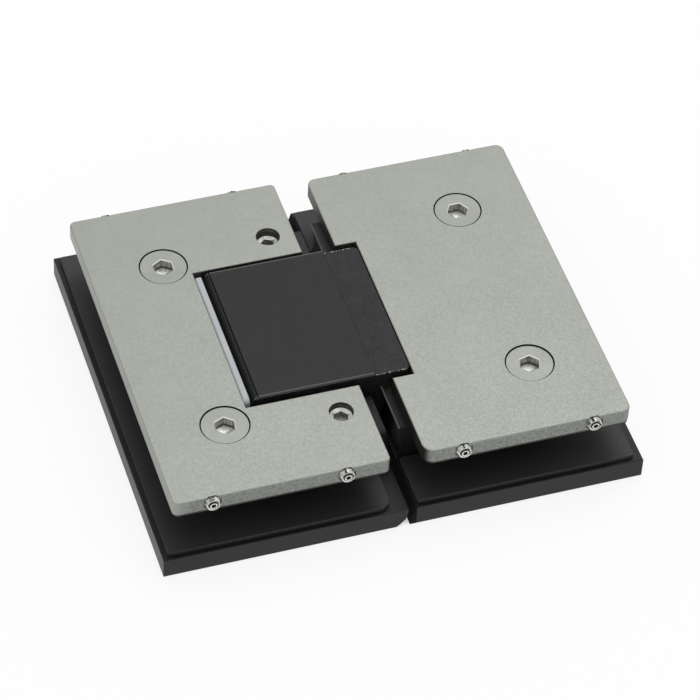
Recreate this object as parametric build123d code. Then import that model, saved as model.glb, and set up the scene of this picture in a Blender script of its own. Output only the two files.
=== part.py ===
"""Glass to glass door hinge with its front covers off, in millimetres.

The leaves lie side by side along X, the door leaf towards -X. The pivot pin runs along Y.
The finished backs of both leaves lie on z = 0, and the origin is below the middle of the pair.
"""

import os
from math import sqrt

from build123d import *

# Leaves and the glass between their plates
overall_width = 104.5
leaf_length = 90.0
back_thickness = 4.9
back_edge_round = 0.15
back_gasket_thickness = 1.0
glass_thickness = 8.0
front_gasket_thickness = 0.8
front_thickness = 3.45
front_side_inset = 2.8
front_end_inset = 3.0
fixed_rear_inset = 3.75
door_corner_radius = 1.3
door_gap_radius = 1.0
fixed_corner_radius = 1.8
fixed_gap_radius = 2.6
front_edge_round = 0.3
front_gap = 7.28
door_front_setback = 3.6
seam_offset = 0.4
seam_gap = 1.7
seam_slant = 1.3

# Gaskets
back_gasket_end_inset = 1.0
door_gasket_side_inset = 1.15
fixed_gasket_side_inset = 1.85
back_gasket_radius = 0.6
back_gasket_gap_radius = 2.5
door_gasket_seam_inset = 3.35
fixed_gasket_gap_inset = 0.35
front_gasket_inset = 0.3
front_gasket_radius = 1.0
gasket_hole_play = 0.6

# Pivot and the arcs that clear it
pivot_setback = 9.5
pivot_height = 9.6
swing_radius = 11.75
swing_gap = 0.35
end_knee_height = 2.0

# Cut-out in the glass and the bodies that fill it
cutout_length = 63.0
cutout_reach = 38.4
body_end_play = 0.5
door_body_play = 0.7
fixed_body_play = 0.3
lug_radius = 9.7
fixed_body_edge = 11.2
body_edge_chamfer = 0.4
body_corner_radius = 2.0

# Knuckle housing and the notches around it
housing_length = 37.3
housing_height = 18.5
housing_reach = 17.0
cover_thickness = 0.7
cover_swing_radius = 18.4
cover_groove_width = 0.3
cover_groove_depth = 0.5
cover_lip = 0.12
cover_edge = 10.0
notch_length = 40.4
door_notch_reach = 18.65
door_body_relief = 0.25
fixed_notch_reach = 17.9
arm_gap = 0.25
arm_corner_radius = 1.2

# Wear strip along the door notch
strip_width = 1.35
strip_length = 37.1
strip_drop = 0.05
strip_lift = 0.1
strip_groove = 0.3
strip_shoulder = 1.45
strip_foot_width = 0.75
strip_end_radius = 1.2

# Pivot pin, bushes and the screws that lock the pin
pin_diameter = 7.5
pin_length = 60.4
pin_chamfer = 0.6
saddle_play = 0.02
running_gap = 0.05
bush_outer_diameter = 11.0
bush_length = 7.9
bush_seat_play = 0.02
flange_diameter = 14.4
flange_thickness = 1.3
set_screw_spacing = 53.1
set_screw_diameter = 5.2
set_screw_sunk = 2.1
set_screw_seat = 0.15
set_screw_lifts = (0.7, 0.0)
set_screw_turns = (12.0, 36.0)
set_screw_socket = 3.0
set_screw_socket_depth = 1.6
dog_diameter = 3.5
dog_depth = 2.0

# Detent that holds the door at its closed position
detent_flat_depth = 0.6
detent_flat_length = 18.0
detent_spacing = 10.8
roller_diameter = 5.0
roller_length = 5.0
plunger_diameter = 7.3
plunger_length = 9.0
plunger_setback = 0.6
plunger_bore_play = 0.05
spigot_diameter = 3.6
spigot_length = 3.0
spring_diameter = 6.4
spring_wire = 1.1
spring_length = 13.0
spring_pitch = 2.2
plug_length = 5.0
plug_socket = 3.0
plug_socket_depth = 2.5

# Screws through the plates
plate_screw_setback = 5.1
plate_screw_spacing = 47.4
plate_screw_diameter = 6.0
head_diameter = 10.3
head_rim = 0.35
head_sunk = 0.05
head_ring_gap = 0.15
plate_screw_socket = 4.0
plate_screw_socket_depth = 2.8
door_screw_turns = (22.0, 29.0)
fixed_screw_turns = (13.0, 0.0)
plate_screw_tip = 1.5
thread_floor = 1.1
thread_play = 0.03
clearance_hole_play = 0.2

# Screws in the edges of the front plates, for the covers
cover_screw_near = 12.6
cover_screw_far = 41.2
cover_screw_diameter = 2.9
cover_screw_length = 6.5
cover_screw_proud = 1.0
cover_screw_chamfer = 0.3
cover_screw_socket = 1.5
cover_screw_socket_depth = 1.2
cover_hole_mouth = 3.9
cover_hole_mouth_depth = 0.35

# Levels and places that follow from the sizes above
half_width = overall_width / 2
half_length = leaf_length / 2
glass_floor = back_thickness + back_gasket_thickness
glass_top = glass_floor + glass_thickness
front_floor = glass_top + front_gasket_thickness
front_top = front_floor + front_thickness
front_middle = front_floor + front_thickness / 2
door_back_edge = seam_offset
fixed_back_edge = door_back_edge + seam_gap
pivot_x = door_back_edge - pivot_setback
plate_screw_reach = cutout_reach - plate_screw_setback
front_side = half_width - front_side_inset
front_half_length = half_length - front_end_inset
door_front_ends = (-front_half_length, front_half_length)
fixed_front_ends = (-front_half_length, half_length - fixed_rear_inset)
door_front_edge = door_back_edge - door_front_setback
fixed_front_edge = door_front_edge + front_gap
door_notch_wall = pivot_x - door_notch_reach
fixed_notch_wall = pivot_x + fixed_notch_reach
notch_half = notch_length / 2
housing_half = housing_length / 2
housing_floor = pivot_height - housing_height / 2
housing_top = pivot_height + housing_height / 2
cover_end = pivot_x + cover_edge
clear_radius = swing_radius + swing_gap
pin_radius = pin_diameter / 2
plate_screw_y = (-plate_screw_spacing / 2, plate_screw_spacing / 2)
set_screw_y = (-set_screw_spacing / 2, set_screw_spacing / 2)
detent_y = (-detent_spacing / 2, detent_spacing / 2)
beyond = 5.0
tiny = 0.001


def block(x0, x1, half_y, z0, z1):
    """A box from x0 to x1 and z0 to z1, centred on the XZ plane."""
    return Pos((x0 + x1) / 2, 0, (z0 + z1) / 2) * Box(x1 - x0, 2 * half_y, z1 - z0)


def post(x, y, z0, z1, radius):
    """An upright cylinder."""
    return Pos(x, y, (z0 + z1) / 2) * Cylinder(radius, z1 - z0)


def upright_cone(x, y, z0, z1, radius0, radius1):
    """A cone frustum with radius0 at its foot and radius1 at its top."""
    return Pos(x, y, (z0 + z1) / 2) * Cone(radius0, radius1, z1 - z0)


def rod_y(x, z, y0, y1, radius):
    """A cylinder along Y."""
    return Pos(x, (y0 + y1) / 2, z) * Rot(90, 0, 0) * Cylinder(radius, abs(y1 - y0))


def rod_x(y, z, x0, x1, radius):
    """A cylinder along X."""
    return Pos((x0 + x1) / 2, y, z) * Rot(0, 90, 0) * Cylinder(radius, x1 - x0)


def socket(across_flats, depth, turn=0):
    """A hexagon socket to cut, sized across its flats, with one corner at turn degrees from its X axis."""
    return Rot(0, 0, turn) * extrude(RegularPolygon(across_flats / 2, 6, major_radius=False), depth)


def leaf_outline(outer, gap, ends, outer_radius, gap_radii):
    """A leaf's rectangle with rounded corners, where the gap side has a radius for each end."""
    front, rear = ends
    face = Pos((outer + gap) / 2, (front + rear) / 2) * Rectangle(abs(gap - outer), rear - front)
    corners = [(outer, front, outer_radius), (outer, rear, outer_radius)]
    corners += [(gap, front, gap_radii[0]), (gap, rear, gap_radii[1])]
    for x, y, radius in corners:
        face = fillet(face.vertices().sort_by_distance((x, y, 0))[0], radius)
    return face


def inset_ends(ends, inset):
    """The two ends of a piece that stops short of both."""
    return (ends[0] + inset, ends[1] - inset)


def flat_bar(x0, x1, half_y):
    """A plain rectangle in the plane of the leaves."""
    return Pos((x0 + x1) / 2, 0) * Rectangle(x1 - x0, 2 * half_y)


def raise_face(face, z0, z1):
    """The face made solid between two levels."""
    return Pos(0, 0, z0) * extrude(face, z1 - z0)


def side_profile(*edges):
    """A face in the XZ plane from its edges, run the full length of a leaf."""
    return extrude(make_face(Curve() + list(edges)), half_length, both=True)


def round_long_rims(plate, outer_x):
    """Eases the rims of a back plate along its two ends and its outer side."""
    ends = [e for e in plate.edges().filter_by(Axis.X) if abs(abs(e.center().Y) - half_length) < tiny]
    sides = [e for e in plate.edges().filter_by(Axis.Y) if abs(e.center().X - outer_x) < tiny]
    return fillet(ends + sides, back_edge_round)


# Door leaf


def door_back_plate():
    """The finished back of the door leaf. Its end by the seam is turned to the swing radius."""
    foot_drop = pivot_height
    knee_drop = pivot_height - end_knee_height
    foot = (pivot_x + sqrt(swing_radius**2 - foot_drop**2), 0)
    knee = (pivot_x + sqrt(swing_radius**2 - knee_drop**2), end_knee_height)
    middle_drop = pivot_height - end_knee_height / 2
    middle = (pivot_x + sqrt(swing_radius**2 - middle_drop**2), end_knee_height / 2)
    lip = (door_back_edge, back_thickness)
    flat = Polyline(knee, lip, (-half_width, back_thickness), (-half_width, 0), foot)
    plate = side_profile(*(Plane.XZ * flat).edges(), *(Plane.XZ * ThreePointArc(foot, middle, knee)).edges())
    plate = round_long_rims(plate, -half_width)
    plate -= block(door_notch_wall, door_back_edge + beyond, notch_half, -beyond, back_thickness + beyond)
    for y in plate_screw_y:
        plate -= post(-plate_screw_reach, y, thread_floor, back_thickness, plate_screw_diameter / 2 + thread_play)
    return plate


def door_back_gasket():
    """Rubber between the back plate and the glass, open round the cut-out."""
    outer = door_gasket_side_inset - half_width
    gap = door_back_edge - door_gasket_seam_inset
    ends = inset_ends((-half_length, half_length), back_gasket_end_inset)
    gap_radii = (back_gasket_gap_radius, back_gasket_gap_radius)
    face = leaf_outline(outer, gap, ends, back_gasket_radius, gap_radii)
    face -= flat_bar(-cutout_reach, gap + beyond, cutout_length / 2)
    return raise_face(face, back_thickness, glass_floor)


def door_body():
    """The casting in the glass cut-out, whose two lugs hold the pin in open saddles."""
    half_y = cutout_length / 2 - door_body_play
    far = body_end_play - cutout_reach
    lug_end = pivot_x + lug_radius
    body = block(far, pivot_x, half_y, back_thickness, glass_top)
    corners = body.edges().filter_by(Axis.Z).sort_by(Axis.X)[:2]
    body = fillet(corners, body_corner_radius)
    lugs = rod_y(pivot_x, pivot_height, -half_y, half_y, lug_radius)
    body += lugs & block(pivot_x, lug_end + beyond, half_y, back_thickness, glass_top)
    ends = body.faces().sort_by(Axis.Y)
    rims = ends[0].edges() + ends[-1].edges()
    rims -= rims.filter_by(Axis.Z)
    body = chamfer(rims.filter_by(lambda rim: rim.center().Z > back_thickness + tiny), body_edge_chamfer)
    notch_wall = door_notch_wall - door_body_relief
    body -= block(notch_wall, lug_end + beyond, notch_half, 0, glass_top + beyond)
    saddle = pin_radius + saddle_play
    body -= rod_y(pivot_x, pivot_height, -half_y - beyond, half_y + beyond, saddle)
    body -= block(pivot_x - saddle, pivot_x + saddle, half_y + beyond, pivot_height, glass_top + beyond)
    for y in plate_screw_y:
        body -= post(-plate_screw_reach, y, 0, glass_top + beyond, plate_screw_diameter / 2 + clearance_hole_play)
    return body


def door_front_gasket():
    """Thin rubber under the door's front plate."""
    outer = front_gasket_inset - front_side
    gap = door_front_edge - front_gasket_inset
    ends = inset_ends(door_front_ends, front_gasket_inset)
    face = leaf_outline(outer, gap, ends, front_gasket_radius, (front_gasket_radius, front_gasket_radius))
    face -= flat_bar(door_notch_wall - front_gasket_inset, gap + beyond, notch_half)
    for y in plate_screw_y:
        face -= Pos(-plate_screw_reach, y) * Circle(plate_screw_diameter / 2 + gasket_hole_play)
    for y in set_screw_y:
        face -= Pos(pivot_x, y) * Circle(set_screw_diameter / 2 + gasket_hole_play)
    return raise_face(face, glass_top, front_floor)


def countersunk_hole(x, y):
    """The seat of one plate screw, cut from a front plate."""
    top = front_top - head_sunk - head_rim
    seat = head_diameter / 2 + head_ring_gap
    hole = plate_screw_diameter / 2 + clearance_hole_play
    cut = post(x, y, top, front_top + beyond, seat)
    cut += upright_cone(x, y, top - (seat - hole), top, hole, seat)
    return cut + post(x, y, front_floor - beyond, top, hole)


def cover_screw_places(side, ends):
    """Where a leaf's four cover screws leave its front plate, and which way each one faces."""
    return [(side * x, y, out) for x in (cover_screw_near, cover_screw_far) for y, out in zip(ends, (-1, 1))]


def front_plate(face, side, ends):
    """A bare front plate from its outline, with its screw seats and cover screw holes."""
    plate = raise_face(face, front_floor, front_top)
    plate = fillet(plate.faces().sort_by(Axis.Z)[-1].edges(), front_edge_round)
    for y in plate_screw_y:
        plate -= countersunk_hole(side * plate_screw_reach, y)
    depth = cover_screw_length - cover_screw_proud + cover_screw_chamfer
    radius = cover_screw_diameter / 2 + thread_play
    for x, y, out in cover_screw_places(side, ends):
        outside = y + out * beyond
        plate -= rod_y(x, front_middle, y - out * depth, outside, radius)
        plate -= rod_y(x, front_middle, y - out * cover_hole_mouth_depth, outside, cover_hole_mouth / 2)
    return plate


def door_front_plate():
    """The door's front plate, with two threaded holes over the pin."""
    gap_radii = (door_gap_radius, door_gap_radius)
    face = leaf_outline(-front_side, door_front_edge, door_front_ends, door_corner_radius, gap_radii)
    face -= flat_bar(door_notch_wall, door_front_edge + beyond, notch_half)
    plate = front_plate(face, -1, door_front_ends)
    for y in set_screw_y:
        plate -= post(pivot_x, y, 0, front_top + beyond, set_screw_diameter / 2 + thread_play)
    return plate


def wear_strip():
    """The bright strip on the notch's wall. Its lower edge is cut back from the housing's swing."""
    left = door_notch_wall
    right = left + strip_width
    low = front_floor + strip_lift
    high = front_top - strip_drop
    outline = [
        (left, low),
        (left + strip_foot_width, low),
        (right, high - strip_shoulder),
        (right, high),
        (left + strip_groove, high),
        (left, high - strip_groove),
    ]
    face = Plane.XZ * make_face(Polyline(*outline, close=True))
    strip = extrude(face, strip_length / 2, both=True)
    round_y = strip_end_radius - strip_length / 2
    round_z = high - strip_end_radius
    low_corner = (Align.CENTER, Align.MAX, Align.MIN)
    corner = Box(strip_width * 2, strip_end_radius, strip_end_radius, align=low_corner)
    corner = Pos((left + right) / 2, round_y, round_z) * corner
    corner -= rod_x(round_y, round_z, left - beyond, right + beyond, strip_end_radius)
    return strip - corner


def plate_screw(x, y, turn):
    """A countersunk screw with a hexagon socket, at the turn where it came to rest."""
    top = front_top - head_sunk
    rim = top - head_rim
    head = head_diameter / 2
    shank = plate_screw_diameter / 2
    screw = post(x, y, rim, top, head)
    screw += upright_cone(x, y, rim - (head - shank), rim, shank, head)
    screw += post(x, y, plate_screw_tip, rim, shank)
    socket_floor = top - plate_screw_socket_depth
    return screw - Pos(x, y, socket_floor) * socket(plate_screw_socket, plate_screw_socket_depth, turn)


def pivot_set_screw(y, lift, turn):
    """A set screw whose dog point drops into the pin. A lifted one isn't screwed fully home."""
    top = front_top - set_screw_sunk + lift
    shoulder = pivot_height + pin_radius + set_screw_seat + lift
    tip = pivot_height + pin_radius - dog_depth + lift
    screw = post(pivot_x, y, shoulder, top, set_screw_diameter / 2)
    screw += post(pivot_x, y, tip, shoulder, dog_diameter / 2)
    socket_floor = top - set_screw_socket_depth
    return screw - Pos(pivot_x, y, socket_floor) * socket(set_screw_socket, set_screw_socket_depth, turn)


def cover_screw(x, y, out):
    """A small socket screw that stands a little proud of the plate's end."""
    outer = y + out * cover_screw_proud
    inner = outer - out * cover_screw_length
    screw = rod_y(x, front_middle, inner, outer, cover_screw_diameter / 2)
    screw = chamfer(screw.edges().filter_by(GeomType.CIRCLE), cover_screw_chamfer)
    mouth = Plane(origin=(x, outer, front_middle), x_dir=(1, 0, 0), z_dir=(0, -out, 0))
    return screw - mouth.location * socket(cover_screw_socket, cover_screw_socket_depth)


def pivot_pin():
    """The pin, with detent flats in the middle and a pocket for each set screw."""
    half = pin_length / 2
    pin = rod_y(pivot_x, pivot_height, -half, half, pin_radius)
    pin = chamfer(pin.edges().filter_by(GeomType.CIRCLE), pin_chamfer)
    flat = pin_radius - detent_flat_depth
    flat_half = detent_flat_length / 2
    for side in (-1, 1):
        near = pivot_x + side * flat
        away = pivot_x + side * (pin_radius + beyond)
        pin -= block(min(near, away), max(near, away), flat_half, 0, 2 * pivot_height)
    pocket_floor = pivot_height + pin_radius - dog_depth - set_screw_seat
    for y in set_screw_y:
        pin -= post(pivot_x, y, pocket_floor, 2 * pivot_height, dog_diameter / 2 + running_gap)
    return pin


# Fixed leaf


def knuckle_block(left, right, floor, top, radius):
    """A block as long as the knuckle, whose left side keeps to an arc that clears the door."""
    arc = rod_y(pivot_x, pivot_height, -housing_half, housing_half, radius)
    left_side = block(left, pivot_x, housing_half, floor, top) & arc
    return left_side + block(pivot_x, right, housing_half, floor, top)


def fixed_back_plate():
    """The finished back of the fixed leaf, slanted at the seam to let the door's end pass."""
    foot = (fixed_back_edge - seam_slant, 0)
    lip = (fixed_back_edge, back_thickness)
    outline = Polyline(foot, (half_width, 0), (half_width, back_thickness), lip, close=True)
    plate = side_profile(*(Plane.XZ * outline).edges())
    plate = round_long_rims(plate, half_width)
    plate -= block(foot[0] - beyond, fixed_notch_wall, notch_half, -beyond, back_thickness + beyond)
    for y in plate_screw_y:
        plate -= post(plate_screw_reach, y, thread_floor, back_thickness, plate_screw_diameter / 2 + thread_play)
    return plate


def fixed_back_gasket():
    """Rubber between the fixed leaf's back plate and its glass."""
    outer = half_width - fixed_gasket_side_inset
    gap = fixed_back_edge + fixed_gasket_gap_inset
    ends = inset_ends((-half_length, half_length), back_gasket_end_inset)
    face = leaf_outline(outer, gap, ends, back_gasket_radius, (back_gasket_radius, back_gasket_radius))
    face -= flat_bar(gap - beyond, cutout_reach, cutout_length / 2)
    return raise_face(face, back_thickness, glass_floor)


def fixed_body():
    """The casting in the fixed glass, its arm and the knuckle that carries the pin."""
    half_y = cutout_length / 2 - fixed_body_play
    near = pivot_x + fixed_body_edge
    far = cutout_reach - body_end_play
    body = block(near, far, half_y, back_thickness, front_floor)
    body = fillet(body.edges().filter_by(Axis.Z).sort_by(Axis.X)[-2:], body_corner_radius)
    body -= rod_y(pivot_x, pivot_height, -half_y - beyond, half_y + beyond, clear_radius)
    rib = [e for e in body.edges().filter_by(Axis.Y) if abs(e.center().X - near) < tiny]
    body = chamfer(ShapeList(rib).sort_by(Axis.Z)[-1], body_edge_chamfer)
    knuckle_left = pivot_x - housing_reach + cover_thickness
    knuckle_right = fixed_notch_wall - arm_gap
    floor = housing_floor + cover_thickness
    top = housing_top - cover_thickness
    knuckle = knuckle_block(knuckle_left, knuckle_right, floor, top, cover_swing_radius - cover_thickness)
    knuckle = fillet(knuckle.edges().filter_by(Axis.Z).sort_by(Axis.X)[-2:], arm_corner_radius)
    body += knuckle
    bore = bush_outer_diameter / 2 + bush_seat_play
    body -= rod_y(pivot_x, pivot_height, -housing_half - beyond, housing_half + beyond, bore)
    for y in detent_y:
        plunger_bore = plunger_diameter / 2 + plunger_bore_play
        body -= rod_x(y, pivot_height, pivot_x, far + beyond, plunger_bore)
    for y in plate_screw_y:
        hole = plate_screw_diameter / 2 + clearance_hole_play
        body -= post(plate_screw_reach, y, 0, front_top, hole)
    return body


def housing_cover():
    """The smooth cover folded round the knuckle, open at both ends. A groove edges its flat top."""
    left = pivot_x - housing_reach
    cover = knuckle_block(left, cover_end, housing_floor, housing_top, cover_swing_radius)
    inner_floor = housing_floor + cover_thickness
    inner_top = housing_top - cover_thickness
    inner_radius = cover_swing_radius - cover_thickness
    cover -= knuckle_block(left + cover_thickness, cover_end + beyond, inner_floor, inner_top, inner_radius)
    top_edge = pivot_x - sqrt(cover_swing_radius**2 - (housing_height / 2) ** 2)
    groove_left = top_edge + cover_lip
    groove_floor = housing_top - cover_groove_depth
    groove_right = groove_left + cover_groove_width
    return cover - block(groove_left, groove_right, half_length, groove_floor, housing_top + beyond)


def fixed_front_gasket():
    """Thin rubber under the fixed leaf's front plate, open round the body."""
    outer = front_side - front_gasket_inset
    gap = fixed_front_edge + front_gasket_inset
    ends = inset_ends(fixed_front_ends, front_gasket_inset)
    gap_radii = (fixed_gap_radius - front_gasket_inset, front_gasket_radius)
    face = leaf_outline(outer, gap, ends, front_gasket_radius, gap_radii)
    face -= flat_bar(gap - beyond, cutout_reach, cutout_length / 2)
    return raise_face(face, glass_top, front_floor)


def fixed_front_plate():
    """The fixed leaf's front plate, notched for the arm."""
    gap_radii = (fixed_gap_radius, fixed_corner_radius)
    face = leaf_outline(front_side, fixed_front_edge, fixed_front_ends, fixed_corner_radius, gap_radii)
    face -= flat_bar(fixed_front_edge - beyond, fixed_notch_wall, notch_half)
    return front_plate(face, 1, fixed_front_ends)


def pivot_bush(end):
    """A flanged bush pressed in from one end of the knuckle."""
    inner = end * (housing_half - bush_length)
    face = end * housing_half
    outer = end * (housing_half + flange_thickness)
    bush = rod_y(pivot_x, pivot_height, inner, face, bush_outer_diameter / 2)
    bush += rod_y(pivot_x, pivot_height, face, outer, flange_diameter / 2)
    return bush - rod_y(pivot_x, pivot_height, inner - end * beyond, outer + end * beyond, pin_radius + running_gap)


roller_x = pivot_x + pin_radius + running_gap + roller_diameter / 2
plunger_x = roller_x + plunger_setback
spring_x = plunger_x + plunger_length
plug_x = spring_x + spring_length


def detent_roller(y):
    """A roller that drops onto the pin's flat when the door is closed."""
    return rod_y(roller_x, pivot_height, y - roller_length / 2, y + roller_length / 2, roller_diameter / 2)


def detent_plunger(y):
    """The plunger that carries a roller in a groove and a spigot in its spring."""
    plunger = rod_x(y, pivot_height, plunger_x, spring_x, plunger_diameter / 2)
    reach = plunger_diameter / 2 + beyond
    groove = roller_diameter / 2 + running_gap
    plunger -= rod_y(roller_x, pivot_height, y - reach, y + reach, groove)
    return plunger + rod_x(y, pivot_height, spring_x, spring_x + spigot_length, spigot_diameter / 2)


def detent_spring(y):
    """A coil spring with its ends ground flat."""
    coil_radius = (spring_diameter - spring_wire) / 2
    turns_length = spring_length + 2 * spring_wire
    line = Helix(spring_pitch, turns_length, coil_radius)
    wire = sweep(Plane(origin=line @ 0, z_dir=line % 0) * Circle(spring_wire / 2), line, is_frenet=True)
    coil = Pos(spring_x - spring_wire, y, pivot_height) * Rot(0, 90, 0) * wire
    return coil & block(spring_x, plug_x, half_length, 0, 2 * pivot_height)


def spring_plug(y):
    """A threaded plug that closes a spring's bore and sets its load."""
    plug = rod_x(y, pivot_height, plug_x, plug_x + plug_length, plunger_diameter / 2)
    mouth = Plane(origin=(plug_x + plug_length, y, pivot_height), x_dir=(0, 1, 0), z_dir=(-1, 0, 0))
    return plug - mouth.location * socket(plug_socket, plug_socket_depth)


def group(solids):
    """Separate solids that share one node."""
    return Compound(children=[s.solid() for s in solids])


def plate_screws(x, turns):
    """A leaf's two plate screws."""
    return group(plate_screw(x, y, turn) for y, turn in zip(plate_screw_y, turns))


def pivot_set_screws():
    """The two screws that lock the pin to the door leaf."""
    return group(pivot_set_screw(*values) for values in zip(set_screw_y, set_screw_lifts, set_screw_turns))


def cover_screws(side, ends):
    """A leaf's four cover screws."""
    return group(cover_screw(*place) for place in cover_screw_places(side, ends))


nodes = {
    "door_back_plate": door_back_plate(),
    "door_back_gasket": door_back_gasket(),
    "door_body": door_body(),
    "door_front_gasket": door_front_gasket(),
    "door_front_plate": door_front_plate(),
    "wear_strip": wear_strip(),
    "door_plate_screws": plate_screws(-plate_screw_reach, door_screw_turns),
    "door_cover_screws": cover_screws(-1, door_front_ends),
    "pivot_set_screws": pivot_set_screws(),
    "pivot_pin": pivot_pin(),
    "fixed_back_plate": fixed_back_plate(),
    "fixed_back_gasket": fixed_back_gasket(),
    "fixed_body": fixed_body(),
    "housing_cover": housing_cover(),
    "fixed_front_gasket": fixed_front_gasket(),
    "fixed_front_plate": fixed_front_plate(),
    "fixed_plate_screws": plate_screws(plate_screw_reach, fixed_screw_turns),
    "fixed_cover_screws": cover_screws(1, fixed_front_ends),
    "pivot_bushes": group(pivot_bush(end) for end in (-1, 1)),
    "detent_rollers": group(detent_roller(y) for y in detent_y),
    "detent_plungers": group(detent_plunger(y) for y in detent_y),
    "detent_springs": group(detent_spring(y) for y in detent_y),
    "spring_plugs": group(spring_plug(y) for y in detent_y),
}

os.makedirs("parts", exist_ok=True)
for name, shape in nodes.items():
    export_step(shape, f"parts/{name}.step")
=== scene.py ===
"""Dresses the glass door hinge: finishes, screws with their threads, floor, light and camera.

Lengths are in metres, in the row frame: +X towards the fixed leaf, +Y along the pivot pin, +Z up.
"""

from math import cos, radians, sin, sqrt, tau

import bmesh
import bpy
from mathutils import Euler, Matrix, Vector


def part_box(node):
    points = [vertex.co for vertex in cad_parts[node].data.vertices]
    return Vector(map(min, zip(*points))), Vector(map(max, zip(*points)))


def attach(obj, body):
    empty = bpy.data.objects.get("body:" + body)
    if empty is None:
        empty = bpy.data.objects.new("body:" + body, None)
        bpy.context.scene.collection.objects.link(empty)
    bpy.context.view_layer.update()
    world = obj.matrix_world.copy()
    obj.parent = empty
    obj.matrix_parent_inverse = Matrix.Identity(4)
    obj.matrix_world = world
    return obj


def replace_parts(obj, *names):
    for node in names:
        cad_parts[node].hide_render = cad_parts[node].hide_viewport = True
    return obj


mm = 0.001

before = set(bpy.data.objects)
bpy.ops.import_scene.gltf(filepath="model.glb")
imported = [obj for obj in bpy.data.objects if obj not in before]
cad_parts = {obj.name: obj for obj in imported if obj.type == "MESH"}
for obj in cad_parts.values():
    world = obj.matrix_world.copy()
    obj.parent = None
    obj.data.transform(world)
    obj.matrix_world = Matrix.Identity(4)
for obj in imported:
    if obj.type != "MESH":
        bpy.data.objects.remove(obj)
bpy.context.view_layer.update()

# Camera, with its angles in degrees and its lens and sensor in millimetres
camera_azimuth = -20.02
camera_elevation = 46.51
camera_roll = 3.44
camera_distance = 780.24 * mm
camera_aim = Vector((0.69, -2.69, 9.6)) * mm
camera_lens = 188.13
camera_sensor = 36.0

# Light and floor. The floor glows where the camera sees it; close to the hinge the glow fades, as a
# painted contact shadow
sky_level = 0.75
key_power = 2.0
key_size = 0.6
key_azimuth = 35.0
key_elevation = 62.0
key_distance = 1.2
floor_size = 6.0
floor_colour = "#E6E6E6"
seen_floor_colour = "#7C7C7C"
seen_floor_glow = 0.85
contact_glow = 0.0
contact_reach = 5 * mm
contact_samples = 8
edge_samples = 6

# Steps round a thread and round a large head
thread_steps = 24
head_steps = 48

# Cover screws: M3, each with a small face inside a groove and a rolled thread behind it
small_pitch = 0.5 * mm
small_root = 1.12 * mm
small_crest = 1.46 * mm
small_crest_lead = 0.1 * mm
small_face = 0.8 * mm
small_groove = 1.1 * mm
small_groove_depth = 0.24 * mm
small_length = 6.0 * mm
small_thread_length = 3.0 * mm
small_thread_sink = 0.05 * mm
small_socket = 0.98 * mm
small_socket_depth = 1.2 * mm
small_socket_edge = 0.02 * mm
rear_sink = 0.35 * mm
cover_screw_places = (12.6 * mm, 41.2 * mm)
door_cover_turns = (8, 40, 23, 51)
fixed_cover_turns = (35, 12, 3, 44)

# Plate screws: countersunk, each with its face a little below the plate's
head_radius = 5.06 * mm
head_edge = 0.08 * mm
head_rim_level = 0.35 * mm
shank_radius = 3.0 * mm
plate_socket = 4.0 * mm
plate_socket_depth = 2.3 * mm
plate_socket_point = 0.35 * mm
mouth_edge = 0.18 * mm
door_plate_drops = (0.14 * mm, 0.1 * mm)
fixed_plate_drops = (0.2 * mm, 0.05 * mm)
door_plate_turns = (22, 29)
fixed_plate_turns = (13, 0)

# Set screws over the pin, and the threads cut in the plate above them
set_radius = 2.6 * mm
set_edge = 0.2 * mm
set_cup = 0.35 * mm
set_dog_radius = 1.75 * mm
set_dog_length = 2.15 * mm
set_socket = 3.0 * mm
set_socket_depth = 1.3 * mm
set_socket_point = 0.3 * mm
set_socket_edge = 0.05 * mm
set_screw_sinks = (1.4 * mm, 2.1 * mm)
set_screw_turns = (12, 36)
hole_pitch = 1.0 * mm
hole_crest = 2.38 * mm
hole_lead = 0.12 * mm
hole_lead_slope = 0.7
hole_thread_sink = 0.02 * mm
hole_thread_start = 0.4 * mm

# Levels and places taken from the frame
plate_low, plate_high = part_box("door_front_plate")
door_screws_low, door_screws_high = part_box("door_cover_screws")
fixed_screws_low, fixed_screws_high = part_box("fixed_cover_screws")
plate_screws_low, plate_screws_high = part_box("door_plate_screws")
set_screws_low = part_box("pivot_set_screws")[0]
cover_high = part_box("housing_cover")[1]
top = plate_high.z
screw_top = plate_screws_high.z
cover_screw_level = (door_screws_low.z + door_screws_high.z) / 2
arm_start = cover_high.x
outer_wall = plate_low.x + 1 * mm

# Places on the solids that the screws and the finishes follow
plate_screw_place = Vector((33.3, 23.7, 0)) * mm
seat_radius = 5.3 * mm
set_screw_place = Vector((9.1, 26.55, 0)) * mm
set_screw_hole = 2.63 * mm
gap_reach = 8 * mm
rim_width = 0.2 * mm
rib_edge = 2.1 * mm
seam_middle = 1.25 * mm


def linear(hex_colour):
    """The linear colour of an sRGB hex value."""
    channels = [int(hex_colour[i : i + 2], 16) / 255 for i in (1, 3, 5)]
    return [c / 12.92 if c <= 0.04045 else ((c + 0.055) / 1.055) ** 2.4 for c in channels] + [1.0]


def add(tree, kind, inputs=None, **settings):
    """Adds a node with its settings, and fills or links its inputs."""
    node = tree.nodes.new(kind)
    for name, value in settings.items():
        setattr(node, name, value)
    for name, value in (inputs or {}).items():
        if isinstance(value, bpy.types.NodeSocket):
            tree.links.new(value, node.inputs[name])
        else:
            node.inputs[name].default_value = value
    return node


def new_material(name):
    """An empty material with its output, and the object's own coordinates in metres."""
    material = bpy.data.materials.new(name)
    material.use_nodes = True
    tree = material.node_tree
    tree.nodes.clear()
    output = add(tree, "ShaderNodeOutputMaterial")
    place = add(tree, "ShaderNodeTexCoord").outputs["Object"]
    return material, tree, output, place


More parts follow.
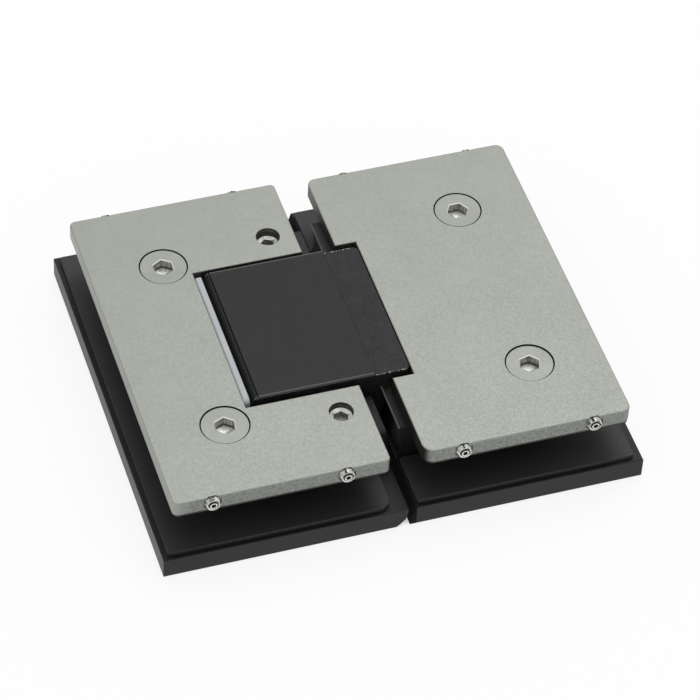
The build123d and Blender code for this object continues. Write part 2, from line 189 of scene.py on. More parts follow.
def noise(tree, place, size, detail=2.0, roughness=0.5):
    """A noise pattern whose features are about size metres across."""
    inputs = {"Vector": place, "Scale": 1 / size, "Detail": detail, "Roughness": roughness}
    return add(tree, "ShaderNodeTexNoise", inputs).outputs["Fac"]


def spread(tree, pattern, low, high, start=0.35, end=0.65):
    """A pattern stretched between two values."""
    inputs = {"Value": pattern, "From Min": start, "From Max": end, "To Min": low, "To Max": high}
    return add(tree, "ShaderNodeMapRange", inputs).outputs["Result"]


def blend(tree, factor, first, second):
    """Moves from one colour to another with a factor.

    Each colour is an sRGB hex value or a colour socket.
    """
    mix = add(tree, "ShaderNodeMix", {"Factor": factor}, data_type="RGBA")
    for place, colour in ((6, first), (7, second)):
        if isinstance(colour, str):
            mix.inputs[place].default_value = linear(colour)
        else:
            tree.links.new(colour, mix.inputs[place])
    return mix.outputs[2]


def shade(tree, pattern, dark, light, start=0.3, end=0.7):
    """A colour that moves between two sRGB values with a pattern."""
    return blend(tree, spread(tree, pattern, 0.0, 1.0, start, end), dark, light)


def times(tree, first, second):
    """The product of two patterns."""
    return add(tree, "ShaderNodeMath", {0: first, 1: second}, operation="MULTIPLY").outputs[0]


def along(tree, place, axis):
    """One coordinate of the place, in metres."""
    return add(tree, "ShaderNodeSeparateXYZ", {0: place}).outputs[axis]


def mirrored(tree, place):
    """The place folded to where X and Y are positive, so that one pattern serves both sides."""
    return add(tree, "ShaderNodeVectorMath", {0: place}, operation="ABSOLUTE").outputs[0]


def below(tree, place, level, soft=0.04 * mm):
    """1 below a level, 0 above it."""
    return spread(tree, along(tree, place, "Z"), 1.0, 0.0, level - soft, level + soft)


def scaled(tree, place, factors):
    """The place with each coordinate scaled by its own factor."""
    inputs = {0: place, 1: factors}
    return add(tree, "ShaderNodeVectorMath", inputs, operation="MULTIPLY").outputs[0]


def near_post(tree, place, post, radius, soft=0.05 * mm):
    """1 within a radius of an upright axis and its mirrored twins, 0 outside it."""
    inputs = {0: mirrored(tree, place), 1: post}
    away = add(tree, "ShaderNodeVectorMath", inputs, operation="SUBTRACT").outputs[0]
    level = scaled(tree, away, (1, 1, 0))
    length = add(tree, "ShaderNodeVectorMath", {0: level}, operation="LENGTH").outputs["Value"]
    return spread(tree, length, 1.0, 0.0, radius - soft, radius + soft)


def facing(tree):
    """The direction that the surface faces."""
    return add(tree, "ShaderNodeNewGeometry").outputs["Normal"]


def facing_up(tree):
    """1 on level faces that look up, 0 on upright walls."""
    return spread(tree, along(tree, facing(tree), "Z"), 0.0, 1.0, 0.2, 0.7)


def finish(name, colour, roughness, metallic, relief=None, edge=0.0, **extra):
    """A material from functions that give colour, roughness and a height pattern for its place.

    The edge is the radius to which the surface's sharp edges look broken.
    """
    material, tree, output, place = new_material(name)
    inputs = {
        "Base Color": colour(tree, place),
        "Roughness": roughness(tree, place),
        "Metallic": metallic,
    }
    inputs.update(extra)
    if edge:
        bevel = add(tree, "ShaderNodeBevel", {"Radius": edge}, samples=edge_samples)
        inputs["Normal"] = bevel.outputs["Normal"]
    if relief:
        height, depth = relief(tree, place)
        bump = {"Height": height, "Distance": depth, "Strength": 1.0}
        if edge:
            bump["Normal"] = inputs["Normal"]
        inputs["Normal"] = add(tree, "ShaderNodeBump", bump).outputs["Normal"]
    surface = add(tree, "ShaderNodeBsdfPrincipled", inputs)
    tree.links.new(surface.outputs["BSDF"], output.inputs["Surface"])
    return material


def screw_hole_walls(tree, place):
    """1 on the walls of the plate screws' seats and of the set screws' holes, 0 elsewhere."""
    margin = 0.06 * mm
    holes = {
        0: near_post(tree, place, plate_screw_place, seat_radius + margin),
        1: near_post(tree, place, set_screw_place, set_screw_hole + margin),
    }
    either = add(tree, "ShaderNodeMath", holes, operation="MAXIMUM").outputs[0]
    return times(tree, either, below(tree, place, screw_top))


def blasted_steel():
    """Stainless steel plate, bead-blasted: even and matt, with fine pits and clouds of tone.

    Its sawn sides are grainy, and darker as painted shade. The outer left ones are as pale as the
    face, as painted light, and the walls of the gap and of the screw holes are darkest, as painted
    shade. These tones are set by place, to agree with the photograph.
    """
    grit = 0.45 * mm
    saw_grain = 0.7 * mm
    fleck = 1.1 * mm
    cloud = 14 * mm
    pit_depth = 0.006 * mm
    lit_fade = 3 * mm
    gap_fade = 1 * mm

    def colour(tree, place):
        broad = shade(tree, noise(tree, place, cloud, 3.0), "#A0A39C", "#A5A8A1")
        flecks = spread(tree, noise(tree, place, fleck, 2.0), 0.0, 0.35)
        face = blend(tree, flecks, broad, "#A6A9A2")
        # Sideways faces take a grainy colour, darker as painted shade
        grain = shade(tree, noise(tree, place, saw_grain, 3.0), "#7B7E78", "#9A9D97")
        # Near the outer left wall the sides keep the face's pale colour: painted light from the
        # left
        side = along(tree, place, "X")
        lit = spread(tree, side, 1.0, 0.0, outer_wall, outer_wall + lit_fade)
        # Sides facing across the gap are darker still: painted shade in the gap
        out = along(tree, mirrored(tree, place), "X")
        middle = spread(tree, out, 1.0, 0.0, gap_reach, gap_reach + gap_fade)
        sideways = along(tree, mirrored(tree, facing(tree)), "X")
        in_gap = times(tree, spread(tree, sideways, 0.0, 1.0, 0.5, 0.8), middle)
        walls = blend(tree, in_gap, grain, "#5C5E59")
        body = blend(tree, facing_up(tree), blend(tree, lit, walls, face), face)
        # The walls of the screw seats and set-screw holes are darkest: painted shade in the holes
        return blend(tree, screw_hole_walls(tree, place), body, "#2E2F2B")

    return finish(
        "blasted_steel",
        colour,
        lambda tree, place: spread(tree, noise(tree, place, grit, 3.0), 0.42, 0.54),
        1.0,
        lambda tree, place: (noise(tree, place, grit, 4.0, 0.6), pit_depth),
    )


def turned_steel():
    """Stainless screw heads, turned and lightly blasted: even and matt."""
    grit = 0.3 * mm
    cloud = 6 * mm
    pit_depth = 0.003 * mm
    return finish(
        "turned_steel",
        lambda tree, place: shade(tree, noise(tree, place, cloud), "#9DA099", "#A5A8A1"),
        lambda tree, place: spread(tree, noise(tree, place, grit), 0.4, 0.52),
        1.0,
        lambda tree, place: (noise(tree, place, grit, 3.0), pit_depth),
    )


def broached_steel():
    """The insides of the plate screws' sockets: bright, with the broach's marks down the walls.

    The broken edge round the mouth is brightest, as a painted highlight, the pointed floor deep in
    the socket is near white, as a painted glint, and the walls are dark at their foot, as painted
    shade.
    """
    mark_width = 0.35 * mm
    mark_depth = 0.01 * mm
    along_marks = (1.0, 1.0, 0.12)
    foot_height = 0.3 * mm
    foot_soft = 0.15 * mm

    def marks(tree, place):
        return noise(tree, scaled(tree, place, along_marks), mark_width, 3.0)

    def colour(tree, place):
        drawn = shade(tree, marks(tree, place), "#94968F", "#ECEDE8")
        # The walls darken at their foot: painted shade
        foot = below(tree, place, screw_top - plate_socket_depth + foot_height, foot_soft)
        walls = blend(tree, foot, drawn, "#4E4F4A")
        # Up-facing faces deep in the socket are near white: a painted glint; the other up-facing
        # faces, at the mouth's broken edge, are a painted highlight
        deep = below(tree, place, screw_top - plate_socket_depth / 2)
        floor = shade(tree, marks(tree, place), "#9C9D98", "#F0F1EC")
        return blend(tree, facing_up(tree), walls, blend(tree, deep, "#F4F5F1", floor))

    return finish(
        "broached_steel",
        colour,
        lambda tree, place: spread(tree, marks(tree, place), 0.3, 0.42),
        1.0,
        lambda tree, place: (marks(tree, place), mark_depth),
    )


def set_screw_steel():
    """Steel of the set screws over the pin, bright at their turned ends."""
    cloud = 1.2 * mm
    grit = 0.4 * mm
    return finish(
        "set_screw_steel",
        lambda tree, place: shade(tree, noise(tree, place, cloud), "#C6C8C2", "#DADCD6"),
        lambda tree, place: spread(tree, noise(tree, place, grit), 0.22, 0.32),
        1.0,
    )


def small_screw_steel():
    """Plain stainless steel of the cover screws' ends: smooth, with sharp highlights."""
    cloud = 1.5 * mm
    grit = 0.4 * mm
    return finish(
        "small_screw_steel",
        lambda tree, place: shade(tree, noise(tree, place, cloud), "#D0D2CC", "#E2E4DE"),
        lambda tree, place: spread(tree, noise(tree, place, grit), 0.2, 0.3),
        1.0,
    )


def rolled_thread_steel():
    """The rolled threads of the cover screws, with bright lines along them painted as reflection
    glints.

    Real glints on a thread are finer. They are drawn as coarse as they need to be to show.
    """
    streak_width = 0.55 * mm
    along_screw = (1.0, 0.12, 1.0)

    def glint_streaks(tree, place):
        return noise(tree, scaled(tree, place, along_screw), streak_width, 2.0)

    # The light and dark lines along the screw are painted reflection glints
    def colour(tree, place):
        return shade(tree, glint_streaks(tree, place), "#50514D", "#F4F6F0", 0.4, 0.55)

    return finish(
        "rolled_thread_steel",
        colour,
        lambda tree, place: spread(tree, glint_streaks(tree, place), 0.22, 0.32),
        1.0,
    )


def socket_steel():
    """The insides of the set screws' sockets: dull from broaching, and darker than the screws' ends
    as painted shade in the recess.
    """
    cloud = 0.8 * mm
    grit = 0.4 * mm
    # Darker colour and lower metallic: painted shade inside the socket
    return finish(
        "socket_steel",
        lambda tree, place: shade(tree, noise(tree, place, cloud), "#8A8B85", "#B4B5AE"),
        lambda tree, place: spread(tree, noise(tree, place, grit), 0.46, 0.58),
        0.4,
    )


def painted_shade_steel():
    """Steel darkened as painted shade: threads cut in the plate, and the cover screws' sockets and
    grooves.
    """
    cloud = 0.8 * mm
    grit = 0.4 * mm
    # Dark colour: painted shade in threads, sockets and grooves
    return finish(
        "painted_shade_steel",
        lambda tree, place: shade(tree, noise(tree, place, cloud), "#45463F", "#5A5B53"),
        lambda tree, place: spread(tree, noise(tree, place, grit), 0.36, 0.48),
        0.5,
    )


def ground_steel():
    """Hardened steel of the pin, rollers and plungers, ground smooth and bright."""
    cloud = 5 * mm
    grit = 0.5 * mm
    return finish(
        "ground_steel",
        lambda tree, place: shade(tree, noise(tree, place, cloud), "#A8A8A6", "#B8B8B6"),
        lambda tree, place: spread(tree, noise(tree, place, grit), 0.16, 0.26),
        1.0,
    )


def spring_wire():
    """Drawn spring wire, dark from its heat treatment."""
    cloud = 2 * mm
    grit = 0.4 * mm
    return finish(
        "spring_wire",
        lambda tree, place: shade(tree, noise(tree, place, cloud), "#6A6866", "#7C7A76"),
        lambda tree, place: spread(tree, noise(tree, place, grit), 0.3, 0.4),
        1.0,
    )


def black_plate():
    """Black plated and sealed back plates: smooth satin; matt at the seam and almost black there as
    painted shade, and a little darker on their upper faces as painted shade.
    """
    cloud = 18 * mm
    grit = 0.6 * mm
    pit = 0.5 * mm
    pit_depth = 0.004 * mm

    def colour(tree, place):
        plated = shade(tree, noise(tree, place, cloud), "#131314", "#181819")
        # Near the seam the colour is almost black: painted shade in the gap
        sides = blend(tree, seam(tree, place), plated, "#060606")
        # Upper faces a little darker: painted shade
        return blend(tree, times(tree, facing_up(tree), 0.25), sides, "#030303")

    def roughness(tree, place):
        satin = spread(tree, noise(tree, place, grit, 3.0), 0.38, 0.46)
        inputs = {0: satin, 1: times(tree, seam(tree, place), 0.5)}
        return add(tree, "ShaderNodeMath", inputs, operation="ADD").outputs[0]

    return finish(
        "black_plate",
        colour,
        roughness,
        0.0,
        lambda tree, place: (noise(tree, place, pit, 3.0), pit_depth),
        edge=0.2 * mm,
        IOR=1.4,
    )


def seam(tree, place):
    """1 in the seam between the back plates, 0 outside it."""
    reach = 0.8 * mm
    fade = 0.3 * mm
    inputs = {0: along(tree, place, "X"), 1: seam_middle}
    from_seam = add(tree, "ShaderNodeMath", inputs, operation="SUBTRACT").outputs[0]
    distance = add(tree, "ShaderNodeMath", {0: from_seam}, operation="ABSOLUTE").outputs[0]
    return spread(tree, distance, 1.0, 0.0, reach, reach + fade)


def knuckle_rim(tree, place):
    """1 along the two upper edges at the knuckle's ends, 0 elsewhere."""
    end_soft = 0.08 * mm
    top_soft = 0.1 * mm
    rim_start = cover_high.y - rim_width
    out = along(tree, mirrored(tree, place), "Y")
    at_end = spread(tree, out, 0.0, 1.0, rim_start - end_soft, rim_start)
    height = along(tree, place, "Z")
    up = spread(tree, height, 0.0, 1.0, top - rim_width, top - rim_width + top_soft)
    return times(tree, at_end, up)


def rib_ridge(tree, place):
    """1 along the upper left edge of the fixed body's rib, past the knuckle's ends."""
    lead = 0.2 * mm
    width = 0.25 * mm
    soft = 0.1 * mm
    side = along(tree, place, "X")
    start = spread(tree, side, 0.0, 1.0, rib_edge - lead, rib_edge - lead + soft)
    end = spread(tree, side, 1.0, 0.0, rib_edge + width, rib_edge + width + soft)
    out = along(tree, mirrored(tree, place), "Y")
    past_cover = spread(tree, out, 0.0, 1.0, cover_high.y, cover_high.y + lead)
    return times(tree, times(tree, start, end), times(tree, past_cover, facing_up(tree)))


def black_cover():
    """The knuckle's folded cover: smooth satin black, with pale edges as a painted highlight and a
    dark end at the arm as painted shade in the joint.
    """
    cloud = 20 * mm
    grit = 0.8 * mm
    end_width = 0.22 * mm
    end_soft = 0.1 * mm

    def colour(tree, place):
        smooth = shade(tree, noise(tree, place, cloud), "#121212", "#161616")
        # Its end at the arm is near black: painted shade in the joint
        end = arm_start - end_width
        at_arm = spread(tree, along(tree, place, "X"), 0.0, 1.0, end, end + end_soft)
        # Pale upper rims at the knuckle's ends: painted highlight
        cover_rim_highlight = blend(tree, knuckle_rim(tree, place), smooth, "#6A6A6A")
        return blend(tree, at_arm, cover_rim_highlight, "#020202")

    return finish(
        "black_cover",
        colour,
        lambda tree, place: spread(tree, noise(tree, place, grit), 0.42, 0.48),
        0.0,
        edge=0.25 * mm,
        IOR=1.42,
    )


def black_casting():
    """Black coating over a rough casting: small bumps catch the light, and broken pale rims on its
    edges are a painted highlight.

    The casting is darker than the arm in the front gap, as painted shade, and paler in the rear
    gap, as painted light. These tones are set by place, to agree with the photograph.
    """
    grain = 0.5 * mm
    patch = 2.5 * mm
    # Size of the breaks in the painted rim highlight
    wear = 0.6 * mm
    bump_depth = 0.035 * mm
    soft = 0.2 * mm

    def colour(tree, place):
        arm = shade(tree, noise(tree, place, patch, 3.0), "#151515", "#272728")
        # The front gap is darker, as painted shade, and the rear gap paler, as painted light
        end = along(tree, place, "Y")
        at_front = spread(tree, end, 1.0, 0.0, -cover_high.y - soft, -cover_high.y)
        at_rear = spread(tree, end, 0.0, 1.0, cover_high.y, cover_high.y + soft)
        coat_and_gap_light = blend(tree, at_rear, blend(tree, at_front, arm, "#070707"), "#303031")
        # A pale line along the rib's upper left edge: painted highlight
        ridge_highlight = blend(tree, rib_ridge(tree, place), coat_and_gap_light, "#787876")
        # Broken pale rims along the arm's upper edges at the knuckle's ends: painted highlight
        broken = spread(tree, noise(tree, place, wear, 3.0), 0.0, 1.0, 0.48, 0.62)
        on_arm = spread(tree, along(tree, place, "X"), 0.0, 1.0, arm_start, arm_start + soft)
        arm_rim_highlight = times(tree, times(tree, knuckle_rim(tree, place), on_arm), broken)
        return blend(tree, arm_rim_highlight, ridge_highlight, "#C4C4C0")

    return finish(
        "black_casting",
        colour,
        lambda tree, place: spread(tree, noise(tree, place, grain, 3.0), 0.42, 0.58),
        0.0,
        lambda tree, place: (noise(tree, place, grain, 4.0, 0.6), bump_depth),
        edge=0.25 * mm,
        IOR=1.42,
    )


def gasket_rubber():
    """Black sheet rubber: matt, with a fine calendered grain."""
    cloud = 9 * mm
    grit = 0.4 * mm
    grain = 0.35 * mm
    grain_depth = 0.005 * mm
    return finish(
        "gasket_rubber",
        lambda tree, place: shade(tree, noise(tree, place, cloud), "#1D1D1D", "#232323"),
        lambda tree, place: spread(tree, noise(tree, place, grit, 3.0), 0.5, 0.6),
        0.0,
        lambda tree, place: (noise(tree, place, grain, 3.0), grain_depth),
        edge=0.12 * mm,
        IOR=1.62,
    )


def pale_strip():
    """Smooth pale plastic of the wear strip, cool in tone."""
    cloud = 8 * mm
    grit = 0.8 * mm
    return finish(
        "pale_strip",
        lambda tree, place: shade(tree, noise(tree, place, cloud), "#C6CACE", "#D4D8DB"),
        lambda tree, place: spread(tree, noise(tree, place, grit), 0.3, 0.38),
        0.0,
        edge=0.2 * mm,
        IOR=1.5,
    )


def bush_plastic():
    """Black bearing plastic, turned: smooth and slightly waxy."""
    cloud = 3 * mm
    grit = 0.5 * mm
    return finish(
        "bush_plastic",
        lambda tree, place: shade(tree, noise(tree, place, cloud), "#161617", "#1C1C1E"),
        lambda tree, place: spread(tree, noise(tree, place, grit), 0.35, 0.45),
        0.0,
        IOR=1.48,
    )


def dress_nodes():
    """Gives each node of the frame its finish."""
    finishes = {
        blasted_steel: ["door_front_plate", "fixed_front_plate"],
        turned_steel: ["door_plate_screws", "fixed_plate_screws"],
        set_screw_steel: ["pivot_set_screws"],
        small_screw_steel: ["door_cover_screws", "fixed_cover_screws", "spring_plugs"],
        ground_steel: ["pivot_pin", "detent_rollers", "detent_plungers"],
        spring_wire: ["detent_springs"],
        black_plate: ["door_back_plate", "fixed_back_plate"],
        black_cover: ["housing_cover"],
        black_casting: ["door_body", "fixed_body"],
        gasket_rubber: [
            "door_back_gasket",
            "fixed_back_gasket",
            "door_front_gasket",
            "fixed_front_gasket",
        ],
        pale_strip: ["wear_strip"],
        bush_plastic: ["pivot_bushes"],
    }
    for make, names in finishes.items():
        material = make()
        for name in names:
            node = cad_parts[name]
            node.data.materials.clear()
            node.data.materials.append(material)


def helix(shape, root, crest, pitch, low, turns):
    """A closed ridge of triangular section that climbs round the Z axis from a level."""
    low_root = shape.verts.new((root, 0, low))
    tip = shape.verts.new((crest, 0, low + pitch / 2))
    high_root = shape.verts.new((root, 0, low + pitch))
    section = [low_root, tip, high_root]
    pairs = ((low_root, tip), (tip, high_root), (high_root, low_root))
    rims = [shape.edges.new(pair) for pair in pairs]
    steps = round(turns * thread_steps)
    climb = (0, 0, pitch / thread_steps)
    angle = steps * tau / thread_steps
    geometry = section + rims
    bmesh.ops.spin(shape, geom=geometry, axis=(0, 0, 1), dvec=climb, angle=angle, steps=steps)
    ends = [edge for edge in shape.edges if len(edge.link_faces) == 1]
    bmesh.ops.holes_fill(shape, edges=ends, sides=len(section))


def ring_up(shape, rim, profile):
    """Extrudes a round rim of edges through a list of radii and levels. It returns the last rim."""
    for radius, level in profile:
        grown = bmesh.ops.extrude_edge_only(shape, edges=rim)["geom"]
        points = [piece for piece in grown if isinstance(piece, bmesh.types.BMVert)]
        edges = [piece for piece in grown if isinstance(piece, bmesh.types.BMEdge)]
        rim = [edge for edge in edges if all(point in points for point in edge.verts)]
        for point in points:
            flat = Vector((point.co.x, point.co.y, 0)).normalized() * radius
            point.co = (flat.x, flat.y, level)
    return rim


def rim_of(shape, points):
    """The edges that join the points given."""
    return [edge for edge in shape.edges if all(point in points for point in edge.verts)]


def socket_screw(flats, depth, drilled, broken, cup, steps, face, body):
    """A screw that points up, with its face at z = 0 and a hexagon socket in it.

    The socket's floor is drilled to a point. Its mouth has a broken edge and lies at the foot of
    a cup. The body is a list of radii and levels below the face. The inside of the socket takes
    the second finish.
    """
    shape = bmesh.new()
    across_corners = 2 / sqrt(3)
    bmesh.ops.create_circle(shape, segments=6, radius=flats / 2 * across_corners)
    bmesh.ops.subdivide_edges(shape, edges=shape.edges[:], cuts=steps // 6 - 1)
    mouth = shape.edges[:]
    edge = bmesh.ops.extrude_edge_only(shape, edges=mouth)["geom"]
    points = [piece for piece in edge if isinstance(piece, bmesh.types.BMVert)]
    shrink = 1 - 2 * broken / flats
    for point in points:
        point.co *= shrink
    bmesh.ops.translate(shape, verts=points, vec=(0, 0, -broken))
    walls = bmesh.ops.extrude_edge_only(shape, edges=rim_of(shape, points))["geom"]
    floor_points = [piece for piece in walls if isinstance(piece, bmesh.types.BMVert)]
    bmesh.ops.translate(shape, verts=floor_points, vec=(0, 0, broken - depth))
    floor = bmesh.ops.contextual_create(shape, geom=rim_of(shape, floor_points))["faces"]
    tip = bmesh.ops.poke(shape, faces=floor)["verts"]
    bmesh.ops.translate(shape, verts=tip, vec=(0, 0, -drilled))
    bmesh.ops.translate(shape, verts=shape.verts, vec=(0, 0, -cup))
    inside = shape.faces[:]

    circle = bmesh.ops.create_circle(shape, segments=steps, radius=face)["verts"]
    face_rim = rim_of(shape, circle)
    bmesh.ops.bridge_loops(shape, edges=mouth + face_rim)
    last = ring_up(shape, face_rim, body)
    bmesh.ops.contextual_create(shape, geom=last)
    for piece in inside:
        piece.material_index = 1
    return shape


def small_screw():
    """A cover screw: a bright face in a groove darkened as painted shade, then the thread."""
    groove = [(small_face, -small_groove_depth), (small_groove, -small_groove_depth)]
    crest_start = (small_crest - small_crest_lead, -small_crest_lead)
    first_crest = [crest_start, (small_crest, -2 * small_crest_lead)]
    body = [(small_root, -small_pitch), (small_root, -small_length)]
    shape = socket_screw(
        flats=small_socket,
        depth=small_socket_depth,
        drilled=0.0,
        broken=small_socket_edge,
        cup=0.0,
        steps=thread_steps,
        face=small_face,
        body=groove + first_crest + body,
    )
    shape.faces.ensure_lookup_table()
    # Socket and groove faces take the second finish, darkened as painted shade; the body below
    # takes the thread finish
    for piece in shape.faces:
        middle = piece.calc_center_median()
        if middle.xy.length < small_groove and middle.z < -small_groove_depth / 3:
            piece.material_index = 1
        elif middle.z < -small_groove_depth:
            piece.material_index = 2
    thread_start = len(shape.faces)
    turns = (small_thread_length - small_pitch) / small_pitch
    root = small_root - small_thread_sink
    helix(shape, root, small_crest, small_pitch, -small_thread_length, turns)
    shape.faces.ensure_lookup_table()
    for piece in shape.faces[thread_start:]:
        piece.material_index = 2
    bmesh.ops.recalc_face_normals(shape, faces=shape.faces[:])
    return shape


def plate_screw(drop):
    """A countersunk screw whose face lies a little below the plate."""
    rim = head_rim_level - drop
    cone = head_radius - shank_radius
    length = screw_top - drop - plate_screws_low.z
    edge = (head_radius, -head_edge)
    shape = socket_screw(
        flats=plate_socket + 2 * mouth_edge,
        depth=plate_socket_depth,
        drilled=plate_socket_point,
        broken=mouth_edge,
        cup=0.0,
        steps=head_steps,
        face=head_radius - head_edge,
        body=[edge, (shank_radius, -rim - cone), (shank_radius, -length)],
    )
    bmesh.ops.recalc_face_normals(shape, faces=shape.faces[:])
    return shape


def set_screw():
    """A set screw with a cupped end and a dog point."""
    length = top - set_screw_sinks[1] - set_screws_low.z
    shoulder = length - set_dog_length
    thread = [(set_radius, -set_edge), (set_radius, -shoulder)]
    dog = [(set_dog_radius, -shoulder), (set_dog_radius, -length)]
    shape = socket_screw(
        flats=set_socket,
        depth=set_socket_depth,
        drilled=set_socket_point,
        broken=set_socket_edge,
        cup=set_cup,
        steps=thread_steps,
        face=set_radius - set_edge,
        body=thread + dog,
    )
    bmesh.ops.recalc_face_normals(shape, faces=shape.faces[:])
    return shape


def hole_thread(low):
    """The cut thread above a set screw, from a level up to its lead under the plate's face."""
    thread = bmesh.new()
    turns = (top - low) / hole_pitch
    helix(thread, set_screw_hole + hole_thread_sink, hole_crest, hole_pitch, low, turns)
    lead = top - hole_lead
    for point in thread.verts:
        point.co.z = min(point.co.z, lead)
        mouth = set_screw_hole - hole_thread_sink - (lead - point.co.z) * hole_lead_slope
        radius = point.co.xy.length
        if radius < mouth:
            point.co.xy *= mouth / radius
    bmesh.ops.recalc_face_normals(thread, faces=thread.faces[:])
    return thread


def small_piece(name, body, finishes, shapes):
    """Joins shapes, each with the matrix that places it, into one object that rides a body."""
    joined = bmesh.new()
    pattern = bpy.data.meshes.new("pattern")
    for shape, matrix in shapes:
        bmesh.ops.transform(shape, matrix=matrix, verts=shape.verts)
        shape.to_mesh(pattern)
        shape.free()
        joined.from_mesh(pattern)
    bpy.data.meshes.remove(pattern)
    mesh = bpy.data.meshes.new(name)
    joined.to_mesh(mesh)
    joined.free()
    for material in finishes:
        mesh.materials.append(bpy.data.materials[material])
    piece = bpy.data.objects.new(name, mesh)
    bpy.context.scene.collection.objects.link(piece)
    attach(piece, body)
    return piece


def upright(x, y, level, turn=0):
    """The matrix that stands a screw at a place, a corner of its socket at an angle from +X."""
    corner_start = 30
    return Matrix.Translation((x, y, level)) @ Matrix.Rotation(radians(turn + corner_start), 4, "Z")


def cover_screws(body, side, low, high, turns):
    """A leaf's four cover screws with their threads."""
    ends = ((low.y, -1), (high.y - rear_sink, 1))
    places = [(side * x, y, out) for x in cover_screw_places for y, out in ends]
    shapes = []
    for (x, y, out), turn in zip(places, turns):
        aim = Matrix.Rotation(radians(-90 * out), 4, "X") @ Matrix.Rotation(radians(turn), 4, "Z")
        shapes.append((small_screw(), Matrix.Translation((x, y, cover_screw_level)) @ aim))
    # Cover screw finishes: the face, the socket and groove darkened as painted shade, and the
    # thread with painted glints
    finishes = ["small_screw_steel", "painted_shade_steel", "rolled_thread_steel"]
    return small_piece(f"{body}_seen_cover_screws", body, finishes, shapes)


def plate_screws(body, side, drops, turns):
    """A leaf's two plate screws, each sunk as in the photo."""
    x, y, _ = plate_screw_place
    shapes = []
    for end, drop, turn in zip((-1, 1), drops, turns):
        shapes.append((plate_screw(drop), upright(side * x, end * y, screw_top - drop, turn)))
    finishes = ["turned_steel", "broached_steel"]
    return small_piece(f"{body}_seen_plate_screws", body, finishes, shapes)


def set_screws():
    """The two set screws over the pin, and the cut threads above them."""
    x, y, _ = set_screw_place
    screws = []
    threads = []
    for end, sink, turn in zip((-1, 1), set_screw_sinks, set_screw_turns):
        level = top - sink
        screws.append((set_screw(), upright(-x, end * y, level, turn)))
        thread = hole_thread(level - hole_thread_start)
        threads.append((thread, Matrix.Translation((-x, end * y, 0))))
    # The cut threads' finish is darkened as painted shade
    small_piece("set_screw_threads", "door_leaf", ["painted_shade_steel"], threads)
    finishes = ["set_screw_steel", "socket_steel"]
    return small_piece("seen_set_screws", "door_leaf", finishes, screws)


def background_ray(tree):
    """1 for a ray that shows the background: to the camera, in a reflection or through glass."""
    path = add(tree, "ShaderNodeLightPath")
    either = {0: path.outputs["Is Camera Ray"], 1: path.outputs["Is Glossy Ray"]}
    direct = add(tree, "ShaderNodeMath", either, operation="MAXIMUM").outputs[0]
    either = {0: direct, 1: path.outputs["Is Transmission Ray"]}
    return add(tree, "ShaderNodeMath", either, operation="MAXIMUM").outputs[0]


def plain_floor():
    """A pale floor that shows white and keeps a faint shadow of the hinge, deepened near it by a
    painted contact shadow where its glow fades.
    """
    material, tree, output, place = new_material("pale_floor")
    paint = add(tree, "ShaderNodeBsdfDiffuse", {"Color": linear(floor_colour)})
    seen_paint = add(tree, "ShaderNodeBsdfDiffuse", {"Color": linear(seen_floor_colour)})
    reach = {"Distance": contact_reach}
    # The glow fades where the hinge is near: a painted contact shadow
    open_sky = add(tree, "ShaderNodeAmbientOcclusion", reach, samples=contact_samples)
    lit = spread(tree, open_sky.outputs["AO"], contact_glow, seen_floor_glow, 0.0, 0.5)
    glow = add(tree, "ShaderNodeEmission", {"Strength": lit})
    seen = add(tree, "ShaderNodeAddShader", {0: seen_paint.outputs[0], 1: glow.outputs[0]})
    mix = {0: background_ray(tree), 1: paint.outputs[0], 2: seen.outputs[0]}
    surface = add(tree, "ShaderNodeMixShader", mix)
    tree.links.new(surface.outputs[0], output.inputs["Surface"])

    shape = bmesh.new()
    bmesh.ops.create_grid(shape, x_segments=1, y_segments=1, size=floor_size / 2)
    mesh = bpy.data.meshes.new("floor")
    shape.to_mesh(mesh)
    shape.free()
    floor = bpy.data.objects.new("floor", mesh)
    floor.data.materials.append(material)
    bpy.context.scene.collection.objects.link(floor)


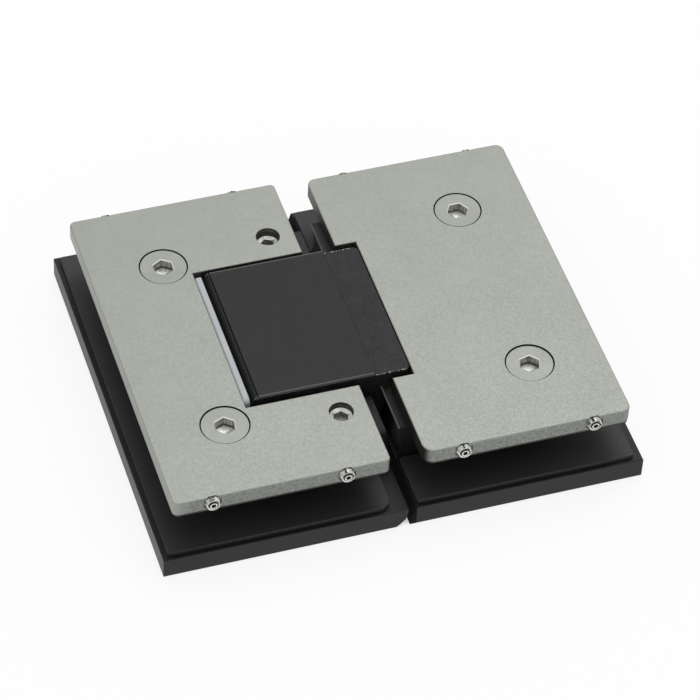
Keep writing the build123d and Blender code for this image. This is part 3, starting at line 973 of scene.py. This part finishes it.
def pale_world():
    """A pale even sky, white where the camera or a reflection sees it."""
    world = bpy.data.worlds.new("pale_sky")
    bpy.context.scene.world = world
    world.use_nodes = True
    tree = world.node_tree
    tree.nodes.clear()
    levels = {"Value": background_ray(tree), "To Min": sky_level, "To Max": 1.0}
    level = add(tree, "ShaderNodeMapRange", levels)
    sky = add(tree, "ShaderNodeBackground", {"Strength": level.outputs["Result"]})
    output = add(tree, "ShaderNodeOutputWorld")
    tree.links.new(sky.outputs[0], output.inputs["Surface"])


def direction(azimuth, elevation):
    """The unit vector towards a place seen at that azimuth and elevation from the hinge."""
    a = radians(azimuth)
    e = radians(elevation)
    return Vector((sin(a) * cos(e), cos(a) * cos(e), sin(e)))


def soft_lamp(name, azimuth, elevation, distance, size, power):
    """A square lamp turned to the hinge."""
    data = bpy.data.lights.new(name, "AREA")
    data.size = size
    data.energy = power
    lamp = bpy.data.objects.new(name, data)
    towards = direction(azimuth, elevation)
    lamp.location = towards * distance
    lamp.rotation_euler = towards.to_track_quat("Z", "Y").to_euler()
    bpy.context.scene.collection.objects.link(lamp)


def photo_camera():
    """The camera at the photograph's viewing angle."""
    data = bpy.data.cameras.new("camera")
    data.lens = camera_lens
    data.sensor_width = camera_sensor
    camera = bpy.data.objects.new("camera", data)
    turn = Euler((radians(90 - camera_elevation), 0, radians(camera_azimuth))).to_matrix()
    turn = turn @ Matrix.Rotation(radians(camera_roll), 3, "Z")
    camera.rotation_euler = turn.to_euler()
    camera.location = camera_aim + turn @ Vector((0, 0, camera_distance))
    bpy.context.scene.collection.objects.link(camera)
    bpy.context.scene.camera = camera


dress_nodes()
broached_steel()
socket_steel()
painted_shade_steel()
rolled_thread_steel()
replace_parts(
    cover_screws("door_leaf", -1, door_screws_low, door_screws_high, door_cover_turns),
    "door_cover_screws",
)
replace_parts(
    cover_screws("fixed_leaf", 1, fixed_screws_low, fixed_screws_high, fixed_cover_turns),
    "fixed_cover_screws",
)
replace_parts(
    plate_screws("door_leaf", -1, door_plate_drops, door_plate_turns),
    "door_plate_screws",
)
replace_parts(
    plate_screws("fixed_leaf", 1, fixed_plate_drops, fixed_plate_turns),
    "fixed_plate_screws",
)
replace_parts(set_screws(), "pivot_set_screws")
plain_floor()
pale_world()
soft_lamp("key", key_azimuth, key_elevation, key_distance, key_size, key_power)
photo_camera()

bpy.context.scene.view_settings.view_transform = "Standard"
